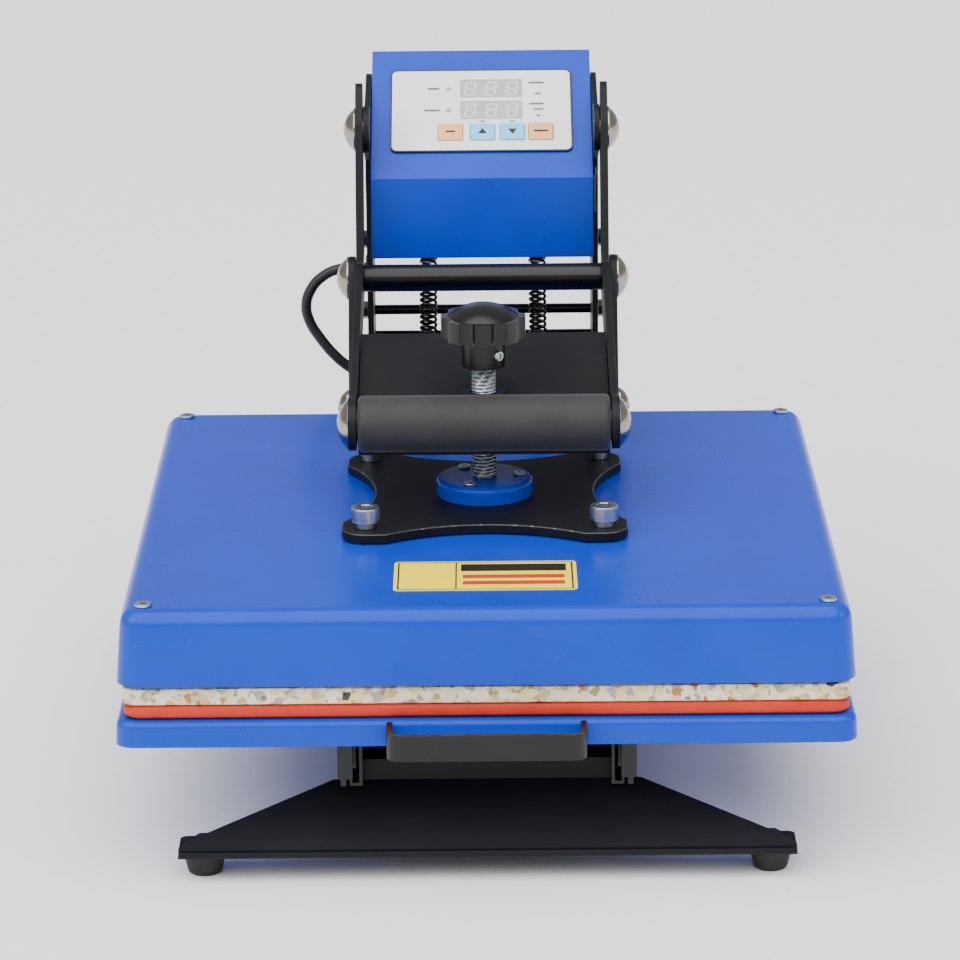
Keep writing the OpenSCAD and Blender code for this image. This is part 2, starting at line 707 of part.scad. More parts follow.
module link_bolts() placed("#c9cbcc") both_sides() {
    rod(link_in, link_in + link_t, link_pivot, 6);
    rod(link_in + link_t, link_in + link_t + washer_t, link_pivot, 10);
    dome(link_in + link_t + washer_t, link_pivot, 9.8, 5.4);
}

// ---------- controls ----------

module panel_key(i) on_face() translate([key_x[i], key_row, -2.6])
    linear_extrude(2.6 + overlay_t + 0.9) soft_rect(key_w, key_h, 1.2);

module key_set() placed("#f0b98c") panel_key(0);
module key_up() placed("#8fd0f2") panel_key(1);
module key_down() placed("#8fd0f2") panel_key(2);
module key_start() placed("#f0b98c") panel_key(3);

// Rocker with a shallow V face that tips about a pin inside the wall.
module rocker_switch() placed("#c8181c") translate([0, switch_y, switch_z])
    rotate([90, 0, 0]) {
        translate([0, 0, -9]) linear_extrude(18) polygon([
            [box_half - 4, -5], [box_half + 0.2, -7], [box_half + 0.9, 0],
            [box_half + 3.4, 7], [box_half - 4, 5]
        ]);
        translate([box_half - 2, 0, 0]) cylinder(h = 20, r = 1.5, center = true, $fn = 32);
    }

// Two extension springs from the column's rod down to the yoke's rod.
module lift_springs() placed("#2a2b2d") both_sides() {
    turns = 9;
    steps = 10;
    coil_r = 4.6;
    wire = 0.9;
    top = [spring_x, spring_high.x, spring_high.y - 3 - wire];
    low = [spring_x, spring_low.x, spring_low.y + 4 + wire];
    axis = unit(top - low);
    side = unit(cross([1, 0, 0], axis));
    reach = norm(top - low);
    swept(concat([low], [for (i = [0 : turns * steps])
        low + axis * (8 + (reach - 16) * i / (turns * steps))
        + coil_r * (cos(360 * i / steps) * [1, 0, 0] + sin(360 * i / steps) * side)], [top]),
        wire, 6, axis);
}

base_beam();
front_apron();
rear_apron();
feet();
foot_screws();
slide_rails();
column_plate_left();
column_plate_right();
column_back_plate();
cross_rods();
hinge_shaft();
hinge_bolts();
box_shell();
box_rear_cover();
panel_overlay();
display_windows();
circuit_board();
switch_bezel();
power_inlet();
box_screws();
heater_cable();
cable_grommets();
lower_tray();
drawer_brackets();
slide_runners();
silicone_mat();
foam_pad();
pull_handle();
handle_screws();
yoke_frame();
pressure_nut();
spring_rod();
platen_cover();
heating_plate();
heating_element();
insulation();
standoffs();
floating_bracket();
bracket_bolts();
cover_screws();
pressure_disc();
disc_screws();
thrust_washer();
plain_label();
pressure_screw();
pressure_knob();
arm_left();
arm_right();
grip_sleeve();
grip_tube();
knee_tube();
arm_bolts();
knee_links();
link_bolts();
key_set();
key_up();
key_down();
key_start();
rocker_switch();
lift_springs();
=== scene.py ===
"""Looks of a clamshell flat heat press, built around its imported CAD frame."""

import json
import math

import bmesh
import bpy
from mathutils import Matrix, Quaternion, Vector

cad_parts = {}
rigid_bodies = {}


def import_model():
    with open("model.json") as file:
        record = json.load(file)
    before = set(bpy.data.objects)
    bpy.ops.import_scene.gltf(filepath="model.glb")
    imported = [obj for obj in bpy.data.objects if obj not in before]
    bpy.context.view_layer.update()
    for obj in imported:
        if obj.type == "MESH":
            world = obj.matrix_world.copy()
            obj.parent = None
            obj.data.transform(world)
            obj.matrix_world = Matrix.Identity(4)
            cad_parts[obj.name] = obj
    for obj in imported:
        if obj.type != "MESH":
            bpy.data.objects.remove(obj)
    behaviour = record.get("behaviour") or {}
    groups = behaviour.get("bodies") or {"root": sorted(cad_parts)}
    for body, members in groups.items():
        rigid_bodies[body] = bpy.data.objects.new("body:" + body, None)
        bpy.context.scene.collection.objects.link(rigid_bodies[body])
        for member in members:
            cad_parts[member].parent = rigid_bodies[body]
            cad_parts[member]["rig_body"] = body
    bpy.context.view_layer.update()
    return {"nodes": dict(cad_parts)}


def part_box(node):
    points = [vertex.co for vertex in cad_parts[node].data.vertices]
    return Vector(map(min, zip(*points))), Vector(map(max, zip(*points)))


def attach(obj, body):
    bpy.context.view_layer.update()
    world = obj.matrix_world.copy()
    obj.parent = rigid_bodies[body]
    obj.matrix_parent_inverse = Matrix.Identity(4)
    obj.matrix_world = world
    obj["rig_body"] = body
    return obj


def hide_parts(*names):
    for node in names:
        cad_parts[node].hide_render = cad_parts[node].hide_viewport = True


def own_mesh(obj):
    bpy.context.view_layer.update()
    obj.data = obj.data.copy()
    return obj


bl_info = {
    "name": "Heat Press Looks",
    "version": (1, 0, 0),
    "blender": (4, 5, 0),
    "location": "View3D > Sidebar > Heat Press",
    "description": "Builds the visible pieces of a clamshell heat press around its frame",
    "category": "Object",
}

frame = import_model()

MM = 0.001
MIDDLE_Y = -28 * MM          # depth of the platen's middle
COVER_TOP = 150 * MM         # height of the cover's top face
FACE_TILT = math.radians(34)  # slope of the control face
CREASE = Vector((0, 147, 296)) * MM  # lower edge of the control face
SMOOTH_UNDER = math.radians(38)  # edges flatter than this are shaded smooth
MERGE_WITHIN = 2e-6          # corners closer than this are one corner
FLAT_WITHIN = math.radians(0.6)  # faces closer in slope than this are one face
DIGIT_UPRIGHT = 1.4508       # turn of a slanted digit's upright bars, in radians
MATERIALS = {}


# ---------- colours and nodes ----------

def linear(text):
    """Linear RGBA of an sRGB hex colour."""
    parts = [int(text[i:i + 2], 16) / 255 for i in (1, 3, 5)]
    return tuple(c / 12.92 if c <= 0.04045 else ((c + 0.055) / 1.055) ** 2.4 for c in parts) + (1,)


def add(tree, kind, values=None, **settings):
    """Adds a node. A value that is a socket is linked, and any other is set."""
    node = tree.nodes.new(kind)
    for key, value in settings.items():
        setattr(node, key, value)
    for key, value in (values or {}).items():
        socket = node.inputs[key]
        if isinstance(value, bpy.types.NodeSocket):
            tree.links.new(value, socket)
        else:
            socket.default_value = value
    return node


def fresh(name):
    """An empty material's tree, its shader and its object coordinates."""
    material = bpy.data.materials.new(name)
    material.use_nodes = True
    tree = material.node_tree
    tree.nodes.clear()
    shader = add(tree, "ShaderNodeBsdfPrincipled")
    add(tree, "ShaderNodeOutputMaterial", {"Surface": shader.outputs[0]})
    place = add(tree, "ShaderNodeTexCoord").outputs["Object"]
    MATERIALS[name] = material
    return tree, shader, place


def finish_shader(shader, **values):
    """Sets plain shader inputs, whose names have _ for a space."""
    for key, value in values.items():
        shader.inputs[key.replace("_", " ")].default_value = value


def noise(tree, place, size, detail=3.0, rough=0.5):
    """Noise whose features are about size metres across."""
    return add(tree, "ShaderNodeTexNoise", {
        "Vector": place, "Scale": 1 / size, "Detail": detail, "Roughness": rough})


def ramp(tree, fac, stops, mode="LINEAR"):
    """Colour ramp from (position, hex) stops."""
    node = add(tree, "ShaderNodeValToRGB", {"Fac": fac})
    node.color_ramp.interpolation = mode
    points = node.color_ramp.elements
    while len(points) < len(stops):
        points.new(0.5)
    for point, (position, shade) in zip(points, stops):
        point.position = position
        point.color = linear(shade)
    return node.outputs["Color"]


def spread(tree, fac, low, high):
    """Maps 0..1 to low..high."""
    return add(tree, "ShaderNodeMapRange", {"Value": fac, "To Min": low, "To Max": high}).outputs[0]


def bump(tree, shader, height, depth, strength=1.0):
    """Bump of the given depth in metres on the shader's normal."""
    node = add(tree, "ShaderNodeBump", {"Height": height, "Distance": depth, "Strength": strength})
    tree.links.new(node.outputs[0], shader.inputs["Normal"])


# ---------- materials ----------

def coated_metal(name, low, high, rough, shine, peel, depth):
    """Powder coat: the melted powder leaves a soft orange peel, peel metres across."""
    tree, shader, place = fresh(name)
    patches = noise(tree, place, 0.05, 4).outputs["Fac"]
    skin = noise(tree, place, peel, 2).outputs["Fac"]
    tree.links.new(ramp(tree, patches, [(0.3, low), (0.7, high)]), shader.inputs["Base Color"])
    tree.links.new(spread(tree, patches, rough * 0.85, rough * 1.15), shader.inputs["Roughness"])
    finish_shader(shader, IOR=1.5, Specular_IOR_Level=shine)
    bump(tree, shader, skin, depth)


def worn_and_highlit_edge():
    """Bare steel where black coating has rubbed off a cut edge, lighter than the coat: partly worn coating,
    partly a painted highlight along the edge.
    """
    tree, shader, place = fresh("worn_edge_painted_highlight")
    chips = noise(tree, place, 0.004, 5, 0.7).outputs["Fac"]
    bare_and_highlit = ramp(tree, chips, [(0.58, "#000000"), (0.67, "#ffffff")])
    # lighter edge colour: part real wear, part painted highlight along the edge
    tree.links.new(ramp(tree, chips, [(0.56, "#212325"), (0.69, "#7d7a74")]), shader.inputs["Base Color"])
    tree.links.new(spread(tree, bare_and_highlit, 0.0, 0.85), shader.inputs["Metallic"])
    tree.links.new(spread(tree, chips, 0.5, 0.34), shader.inputs["Roughness"])
    finish_shader(shader, IOR=1.5)
    bump(tree, shader, chips, 0.00012)


def metal(name, low, high, rough_low, rough_high, grain, stretch=(1, 1, 1), depth=0.00002):
    """Bare or plated metal. Grain is the size of its mottling, stretched along a brushed direction."""
    tree, shader, place = fresh(name)
    turned = add(tree, "ShaderNodeMapping", {"Vector": place, "Scale": stretch}).outputs[0]
    marks = noise(tree, turned, grain, 5, 0.6).outputs["Fac"]
    smears = noise(tree, place, 0.012, 3).outputs["Fac"]
    tree.links.new(ramp(tree, marks, [(0.3, low), (0.7, high)]), shader.inputs["Base Color"])
    tree.links.new(spread(tree, smears, rough_low, rough_high), shader.inputs["Roughness"])
    finish_shader(shader, Metallic=1.0)
    bump(tree, shader, marks, depth)


def moulded(name, low, high, rough, grain, depth, coat=0.0, ior=1.5):
    """Moulded plastic, rubber or printed film, with a fine surface grain."""
    tree, shader, place = fresh(name)
    tone = noise(tree, place, 0.018, 4).outputs["Fac"]
    skin = noise(tree, place, grain, 3).outputs["Fac"]
    tree.links.new(ramp(tree, tone, [(0.3, low), (0.7, high)]), shader.inputs["Base Color"])
    tree.links.new(spread(tree, skin, rough * 0.85, min(1, rough * 1.15)), shader.inputs["Roughness"])
    finish_shader(shader, IOR=ior, Coat_Weight=coat, Coat_Roughness=0.1)
    bump(tree, shader, skin, depth)


def rebond_foam():
    """Rebonded foam: pressed chips of cream, grey, olive and orange foam, 4 to 9 mm across."""
    tree, shader, place = fresh("rebond_foam")
    wander = noise(tree, place, 0.009, 3)
    bent = add(tree, "ShaderNodeVectorMath", {0: wander.outputs["Color"], "Scale": 0.006},
               operation="SCALE")
    moved = add(tree, "ShaderNodeVectorMath", {0: place, 1: bent.outputs[0]}, operation="ADD")
    chips = add(tree, "ShaderNodeTexVoronoi", {"Vector": moved.outputs[0], "Scale": 230.0})
    split = add(tree, "ShaderNodeSeparateColor", {"Color": chips.outputs["Color"]})
    shades = ramp(tree, split.outputs["Red"], [
        (0.0, "#f6ecc9"), (0.28, "#fbf4dc"), (0.50, "#f3e2a0"), (0.64, "#e6d8b4"),
        (0.74, "#cfc49a"), (0.82, "#b3b0a2"), (0.88, "#e3b566"), (0.93, "#a3a469"),
        (0.965, "#cf7f4e"), (0.985, "#4b4842")], "CONSTANT")
    small = add(tree, "ShaderNodeTexVoronoi", {"Vector": moved.outputs[0], "Scale": 420.0})
    split_small = add(tree, "ShaderNodeSeparateColor", {"Color": small.outputs["Color"]})
    fleck = ramp(tree, split_small.outputs["Green"], [
        (0.0, "#ffffff"), (0.9, "#6f6c50"), (0.95, "#c98f4a"), (0.975, "#262523")], "CONSTANT")
    speck = add(tree, "ShaderNodeMix", {"Factor": 0.55, 6: shades, 7: fleck},
                data_type="RGBA", blend_type="MULTIPLY")
    tree.links.new(speck.outputs[2], shader.inputs["Base Color"])
    cells = noise(tree, place, 0.0009, 4, 0.7).outputs["Fac"]
    height = add(tree, "ShaderNodeMath", {0: chips.outputs["Distance"], 1: cells}, operation="ADD")
    finish_shader(shader, Roughness=0.95, IOR=1.4, Sheen_Weight=0.2, Sheen_Roughness=0.5)
    bump(tree, shader, height.outputs[0], 0.0008)


def closed_foam():
    """Closed-cell foam rubber of the grip: matt charcoal with tiny open pores."""
    tree, shader, place = fresh("closed_cell_foam")
    pores = add(tree, "ShaderNodeTexVoronoi", {"Vector": place, "Scale": 1300.0})
    tone = noise(tree, place, 0.02, 5, 0.6).outputs["Fac"]
    tree.links.new(ramp(tree, tone, [(0.3, "#1f1f20"), (0.7, "#29292a")]), shader.inputs["Base Color"])
    finish_shader(shader, Roughness=0.62, IOR=1.45, Sheen_Weight=0.15, Sheen_Roughness=0.4)
    bump(tree, shader, pores.outputs["Distance"], 0.00012)


def window_lens():
    """Unlit display window: pale grey diffuser behind a thin clear lens."""
    tree, shader, place = fresh("display_lens")
    bands = noise(tree, place, 0.02, 2).outputs["Fac"]
    tree.links.new(ramp(tree, bands, [(0.3, "#a0a5aa"), (0.7, "#aeb2b6")]), shader.inputs["Base Color"])
    finish_shader(shader, Roughness=0.35, IOR=1.49, Coat_Weight=0.5, Coat_Roughness=0.08)
    bump(tree, shader, bands, 0.00002)


def make_materials():
    """Builds every material once, named for its finish; the worn edge also holds a painted highlight."""
    coated_metal("blue_powder_coat", "#0036b2", "#003abc", 0.28, 0.24, 0.0022, 0.00003)
    coated_metal("black_powder_coat", "#0e0f11", "#151618", 0.5, 0.2, 0.0009, 0.00006)
    coated_metal("black_gloss_enamel", "#080809", "#0d0e0f", 0.28, 0.35, 0.0016, 0.00002)
    worn_and_highlit_edge()
    metal("zinc_plated_steel", "#a5acb3", "#c6ccd0", 0.24, 0.42, 0.0016)
    metal("polished_stainless", "#8d867c", "#a59f95", 0.14, 0.26, 0.004)
    metal("ground_steel", "#85888b", "#a3a6a8", 0.3, 0.45, 0.0009, (0.15, 1, 1))
    metal("cast_aluminium", "#a6a8aa", "#c0c2c4", 0.38, 0.55, 0.0025, depth=0.00008)
    metal("bearing_brass", "#a9853a", "#c29b4b", 0.3, 0.45, 0.0014)
    metal("oxidised_sheath", "#5a4338", "#7a5c4b", 0.45, 0.6, 0.003, depth=0.00005)
    moulded("foot_rubber", "#121213", "#1a1a1b", 0.7, 0.0007, 0.00005)
    moulded("cable_rubber", "#101011", "#191919", 0.5, 0.0012, 0.00003)
    moulded("black_abs", "#0d0e0f", "#151618", 0.3, 0.0008, 0.00002, 0.3)
    moulded("red_silicone", "#bd2a10", "#c93316", 0.62, 0.0015, 0.00006, 0.0, 1.41)
    moulded("silver_film", "#eef1f4", "#f5f7f9", 0.5, 0.0005, 0.00001)
    moulded("orange_key_film", "#ffb26e", "#ffbe80", 0.5, 0.0005, 0.00001)
    moulded("sky_key_film", "#72cdff", "#86d6ff", 0.5, 0.0005, 0.00001)
    moulded("red_switch_plastic", "#d80d10", "#e61416", 0.25, 0.0012, 0.00001, 0.5)
    moulded("yellow_label_film", "#ffe200", "#ffea0a", 0.55, 0.0006, 0.00001)
    moulded("black_print", "#141414", "#1c1c1c", 0.5, 0.0004, 0.00001)
    moulded("grey_print", "#5a6068", "#686e76", 0.5, 0.0004, 0.00001)
    moulded("ghost_segment", "#dcdddd", "#e4e4e4", 0.5, 0.0006, 0.00001)
    moulded("panel_border", "#1a1d26", "#22252e", 0.4, 0.0006, 0.00001)
    moulded("lamp_lens", "#8fa3b8", "#a6b8ca", 0.2, 0.0008, 0.00001, 0.6)
    moulded("board_laminate", "#1a5c37", "#217045", 0.35, 0.001, 0.00003, 0.4)
    moulded("mineral_wool", "#e2dcc8", "#efe9da", 0.95, 0.0006, 0.0003)
    moulded("pale_floor", "#fbfbfb", "#fdfdfd", 0.8, 0.01, 0.00002)
    rebond_foam()
    closed_foam()
    window_lens()


# ---------- mesh helpers ----------

def linked(name, mesh, material, body):
    """Puts a mesh in the scene as a piece of that name, on its body."""
    piece = bpy.data.objects.new(name, mesh)
    bpy.context.scene.collection.objects.link(piece)
    piece.data.materials.clear()
    piece.data.materials.append(MATERIALS[material])
    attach(piece, body)
    return piece


def from_bmesh(name, bm):
    """A mesh with smooth faces and its sharp edges marked by angle."""
    mesh = bpy.data.meshes.new(name)
    bm.to_mesh(mesh)
    bm.free()
    mesh.polygons.foreach_set("use_smooth", [True] * len(mesh.polygons))
    mesh.set_sharp_from_angle(angle=SMOOTH_UNDER)
    return mesh


def dressed(node, material, round_edge=0.0004, edge=None, segments=2):
    """A merged copy of a CAD node with rounded edges, shown in the node's place."""
    bm = bmesh.new()
    bm.from_mesh(frame["nodes"][node].data)
    bmesh.ops.remove_doubles(bm, verts=bm.verts, dist=MERGE_WITHIN)
    bmesh.ops.dissolve_limit(
        bm, angle_limit=FLAT_WITHIN, verts=bm.verts, edges=bm.edges, delimit={"NORMAL"})
    mesh = from_bmesh(node + "_finish", bm)
    piece = linked(node + "_finish", mesh, material, frame["nodes"][node]["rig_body"])
    if edge:
        piece.data.materials.append(MATERIALS[edge])
    if round_edge:
        bevel = piece.modifiers.new("rounded_edges", "BEVEL")
        bevel.width = round_edge
        bevel.segments = segments
        bevel.limit_method = "ANGLE"
        bevel.angle_limit = SMOOTH_UNDER
        bevel.use_clamp_overlap = True
        bevel.harden_normals = True
        # the rounded edge faces take the edge material; on black plates that is the lighter worn edge, which
        # also paints a highlight
        if edge:
            bevel.material = 1
    level = piece.modifiers.new("flat_faces", "WEIGHTED_NORMAL")
    level.keep_sharp = True
    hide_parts(node)
    return piece


def plate(bm, outline, z0, z1, place):
    """Extrudes a closed outline from z0 to z1 and moves it to its place."""
    low = [bm.verts.new(place @ Vector((x, y, z0))) for x, y in outline]
    high = [bm.verts.new(place @ Vector((x, y, z1))) for x, y in outline]
    bm.faces.new(list(reversed(low)))
    bm.faces.new(high)
    for i in range(len(outline)):
        j = (i + 1) % len(outline)
        bm.faces.new((low[i], low[j], high[j], high[i]))


def rounded(width, height, radius, centre=(0, 0), steps=6):
    """Outline of a rectangle with round corners."""
    points = []
    for k, (sx, sy) in enumerate(((1, 1), (-1, 1), (-1, -1), (1, -1))):
        cx = centre[0] + sx * (width / 2 - radius)
        cy = centre[1] + sy * (height / 2 - radius)
        for i in range(steps + 1):
            a = math.radians(90 * k + 90 * i / steps)
            points.append((cx + radius * math.cos(a), cy + radius * math.sin(a)))
    return points


def lathe(bm, profile, turns, place):
    """Spins (radius, height) points about Z. A point at radius 0 closes the shape."""
    rings = []
    for r, z in profile:
        if r < 1e-9:
            rings.append([bm.verts.new(place @ Vector((0, 0, z)))])
        else:
            rings.append([bm.verts.new(place @ Vector((
                r * math.cos(2 * math.pi * k / turns), r * math.sin(2 * math.pi * k / turns), z)))
                for k in range(turns)])
    for a, b in zip(rings, rings[1:]):
        for k in range(turns):
            j = (k + 1) % turns
            if len(a) == 1:
                bm.faces.new((a[0], b[j], b[k]))
            elif len(b) == 1:
                bm.faces.new((a[k], a[j], b[0]))
            else:
                bm.faces.new((a[k], a[j], b[j], b[k]))
    bmesh.ops.recalc_face_normals(bm, faces=bm.faces)


def on_face(x=0.0, y=0.0, z=0.0):
    """Place on the sloped control face: x across, y up the slope, z outwards."""
    return Matrix.Translation(CREASE) @ Matrix.Rotation(FACE_TILT, 4, "X") @ Matrix.Translation((x, y, z))


# ---------- geometry nodes ----------

def new_tree(name, sizes):
    """A geometry node tree with named float inputs, and the sockets that bring them in."""
    tree = bpy.data.node_groups.new(name, "GeometryNodeTree")
    tree.interface.new_socket("Geometry", in_out="INPUT", socket_type="NodeSocketGeometry")
    for key in sizes:
        tree.interface.new_socket(key, in_out="INPUT", socket_type="NodeSocketFloat")
    tree.interface.new_socket("Geometry", in_out="OUTPUT", socket_type="NodeSocketGeometry")
    return tree, add(tree, "NodeGroupInput").outputs


def close_tree(tree, geometry, material):
    """Ends a tree in Realize Instances and Set Material."""
    solid = add(tree, "GeometryNodeRealizeInstances", {"Geometry": geometry})
    done = add(tree, "GeometryNodeSetMaterial", {
        "Geometry": solid.outputs[0], "Material": MATERIALS[material]})
    add(tree, "NodeGroupOutput", {"Geometry": done.outputs[0]})


def evaluated(tree, sizes, base=None):
    """Runs a tree on a carrier object and returns the result as a plain mesh."""
    carrier = bpy.data.objects.new("carrier", base or bpy.data.meshes.new("carrier"))
    bpy.context.scene.collection.objects.link(carrier)
    modifier = carrier.modifiers.new("nodes", "NODES")
    modifier.node_group = tree
    for item in tree.interface.items_tree:
        if item.item_type == "SOCKET" and item.in_out == "INPUT" and item.name in sizes:
            modifier[item.identifier] = float(sizes[item.name])
    graph = bpy.context.evaluated_depsgraph_get()
    mesh = bpy.data.meshes.new_from_object(carrier.evaluated_get(graph))
    bpy.data.objects.remove(carrier)
    return mesh


def math_node(tree, operation, *values):
    """A math node's result."""
    return add(tree, "ShaderNodeMath", dict(enumerate(values)), operation=operation).outputs[0]


def thread_tree(material):
    """A threaded rod along Z: a fine cylinder whose radius follows the helix of its thread."""
    tree, sizes = new_tree("threaded_rod", ["Radius", "Length", "Pitch", "Depth"])
    rod = add(tree, "GeometryNodeMeshCylinder", {
        "Vertices": 40, "Side Segments": 300, "Radius": sizes["Radius"], "Depth": sizes["Length"]})
    place = add(tree, "GeometryNodeInputPosition").outputs[0]
    xyz = add(tree, "ShaderNodeSeparateXYZ", {0: place}).outputs
    turn = math_node(tree, "DIVIDE", math_node(tree, "ARCTAN2", xyz[1], xyz[0]), 2 * math.pi)
    rise = math_node(tree, "DIVIDE", xyz[2], sizes["Pitch"])
    phase = math_node(tree, "FRACT", math_node(tree, "SUBTRACT", rise, turn))
    wave = math_node(tree, "ABSOLUTE", math_node(
        tree, "SUBTRACT", math_node(tree, "MULTIPLY", phase, 2.0), 1.0))
    cut = math_node(tree, "DIVIDE", math_node(tree, "MULTIPLY", wave, sizes["Depth"]), sizes["Radius"])
    keep = math_node(tree, "SUBTRACT", 1.0, cut)
    shrink = add(tree, "ShaderNodeCombineXYZ", {0: keep, 1: keep, 2: 1.0}).outputs[0]
    moved = add(tree, "ShaderNodeVectorMath", {0: place, 1: shrink}, operation="MULTIPLY").outputs[0]
    cutting = add(tree, "GeometryNodeSetPosition", {"Geometry": rod.outputs[0], "Position": moved})
    close_tree(tree, cutting.outputs[0], material)
    return tree


def coil_tree(material):
    """The coiled part of an extension spring along Z: a wire swept along a spiral."""
    tree, sizes = new_tree("coil_spring", ["Coil Radius", "Wire Radius", "Turns", "Length"])
    spiral = add(tree, "GeometryNodeCurveSpiral", {
        "Resolution": 20, "Rotations": sizes["Turns"], "Start Radius": sizes["Coil Radius"],
        "End Radius": sizes["Coil Radius"], "Height": sizes["Length"]})
    wire = add(tree, "GeometryNodeCurvePrimitiveCircle", {"Resolution": 8, "Radius": sizes["Wire Radius"]})
    body = add(tree, "GeometryNodeCurveToMesh", {
        "Curve": spiral.outputs[0], "Profile Curve": wire.outputs[0], "Fill Caps": True})
    smooth = add(tree, "GeometryNodeSetShadeSmooth", {"Geometry": body.outputs[0]})
    close_tree(tree, smooth.outputs[0], material)
    return tree


def ridge_tree(material):
    """A ring of narrow upright ridges, as on a knurled screw head."""
    tree, sizes = new_tree("ridge_ring", ["Radius", "Height", "Width"])
    ring = add(tree, "GeometryNodeMeshCircle", {"Vertices": 44, "Radius": sizes["Radius"]})
    outwards = add(tree, "GeometryNodeInputPosition").outputs[0]
    turn = add(tree, "FunctionNodeAlignRotationToVector", {"Vector": outwards}, axis="X").outputs[0]
    size = add(tree, "ShaderNodeCombineXYZ", {
        0: sizes["Width"], 1: sizes["Width"], 2: sizes["Height"]}).outputs[0]
    ridge = add(tree, "GeometryNodeMeshCube", {"Size": size})
    around = add(tree, "GeometryNodeInstanceOnPoints", {
        "Points": ring.outputs[0], "Instance": ridge.outputs[0], "Rotation": turn})
    close_tree(tree, around.outputs[0], material)
    return tree


def segment_tree(material):
    """Segments of unlit digits: one bar on each point, turned by the point's own angle."""
    tree, sizes = new_tree("segment_digits", ["Bar Length", "Bar Width", "Bar Height"])
    size = add(tree, "ShaderNodeCombineXYZ", {
        0: sizes["Bar Length"], 1: sizes["Bar Width"], 2: sizes["Bar Height"]}).outputs[0]
    bar = add(tree, "GeometryNodeMeshCube", {"Size": size})
    angle = add(tree, "GeometryNodeInputNamedAttribute", {"Name": "turn"}, data_type="FLOAT")
    turn = add(tree, "ShaderNodeCombineXYZ", {2: angle.outputs[0]}).outputs[0]
    bars = add(tree, "GeometryNodeInstanceOnPoints", {
        "Points": sizes["Geometry"], "Instance": bar.outputs[0], "Rotation": turn})
    close_tree(tree, bars.outputs[0], material)
    return tree


def placed_copies(mesh, places):
    """One mesh that holds a copy of the given mesh at each place."""
    bm = bmesh.new()
    for place in places:
        copy = mesh.copy()
        copy.transform(place)
        bm.from_mesh(copy)
        bpy.data.meshes.remove(copy)
    joined = bpy.data.meshes.new(mesh.name + "_set")
    bm.to_mesh(joined)
    bm.free()
    return joined


# ---------- sizes that a user may change ----------

class HeatPressSizes(bpy.types.PropertyGroup):
    """Sizes of the details, in metres."""
    plate_edge: bpy.props.FloatProperty(
        name="Plate Edge", description="Rounding of laser-cut plate edges",
        default=0.0004, unit="LENGTH")
    sheet_edge: bpy.props.FloatProperty(
        name="Sheet Edge", description="Rounding of folded sheet metal edges",
        default=0.0009, unit="LENGTH")
    thread_pitch: bpy.props.FloatProperty(
        name="Thread Pitch", description="Pitch of the pressure screw",
        default=0.002, unit="LENGTH")
    thread_depth: bpy.props.FloatProperty(
        name="Thread Depth", description="Depth of the pressure screw's thread",
        default=0.0009, unit="LENGTH")
    spring_turns: bpy.props.FloatProperty(
        name="Spring Turns", description="Turns of each lift spring", default=16)
    pad_wobble: bpy.props.FloatProperty(
        name="Pad Wobble", description="How ragged the cut edge of the foam pad is",
        default=0.0007, unit="LENGTH")
    mat_edge: bpy.props.FloatProperty(
        name="Mat Edge", description="Rounding of the silicone mat's edges",
        default=0.0022, unit="LENGTH")


class HeatPressStage(bpy.types.PropertyGroup):
    """Camera and light."""
    focal_length: bpy.props.FloatProperty(
        name="Focal Length", description="Lens of the camera in millimetres", default=158.2)
    distance: bpy.props.FloatProperty(
        name="Distance", description="From the camera to the middle of the press",
        default=2.359, unit="LENGTH")
    elevation: bpy.props.FloatProperty(
        name="Elevation", description="Height angle of the camera",
        default=math.radians(16.84), subtype="ANGLE")
    roll: bpy.props.FloatProperty(
        name="Roll", description="Turn of the camera about its view",
        default=math.radians(-0.5), subtype="ANGLE")
    ambient: bpy.props.FloatProperty(
        name="Ambient", description="Strength of the even light all round", default=0.5)
    key_light: bpy.props.FloatProperty(
        name="Key Light", description="Strength of the broad overhead light", default=4.6)
    floor_size: bpy.props.FloatProperty(
        name="Floor Size", description="Side of the square floor", default=60.0, unit="LENGTH")


class Step(bpy.types.Operator):
    """Shared base of the building steps."""
    bl_options = {"REGISTER"}

    def execute(self, context):
        self.build(context.scene.heat_press_sizes)
        return {"FINISHED"}


class BuildMaterials(Step):
    """Make every material"""
    bl_idname = "heat_press.materials"
    bl_label = "Materials"

    def build(self, sizes):
        make_materials()


class BuildBase(Step):
    """Foot aprons, beam, feet, slides and their fasteners"""
    bl_idname = "heat_press.base"
    bl_label = "Base"

    def build(self, sizes):
        for node in ("base_beam", "front_apron", "rear_apron"):
            dressed(node, "black_powder_coat", sizes.sheet_edge)
        dressed("feet", "foot_rubber", 0.0006)
        dressed("foot_screws", "black_gloss_enamel", 0.0003)
        dressed("slide_rails", "black_gloss_enamel", 0.0002)


class BuildColumn(Step):
    """Side plates, back plate, rods, shaft and its bolt caps"""
    bl_idname = "heat_press.column"
    bl_label = "Column"

    def build(self, sizes):
        for node in ("column_plate_left", "column_plate_right"):
            # cut edges lighter: worn coating and painted highlight
            dressed(node, "black_powder_coat", sizes.plate_edge, "worn_edge_painted_highlight")
        dressed("column_back_plate", "black_powder_coat", sizes.plate_edge)
        dressed("cross_rods", "black_gloss_enamel", 0.0003)
        dressed("hinge_shaft", "black_gloss_enamel", 0.0003)
        dressed("hinge_bolts", "polished_stainless", 0.0004)


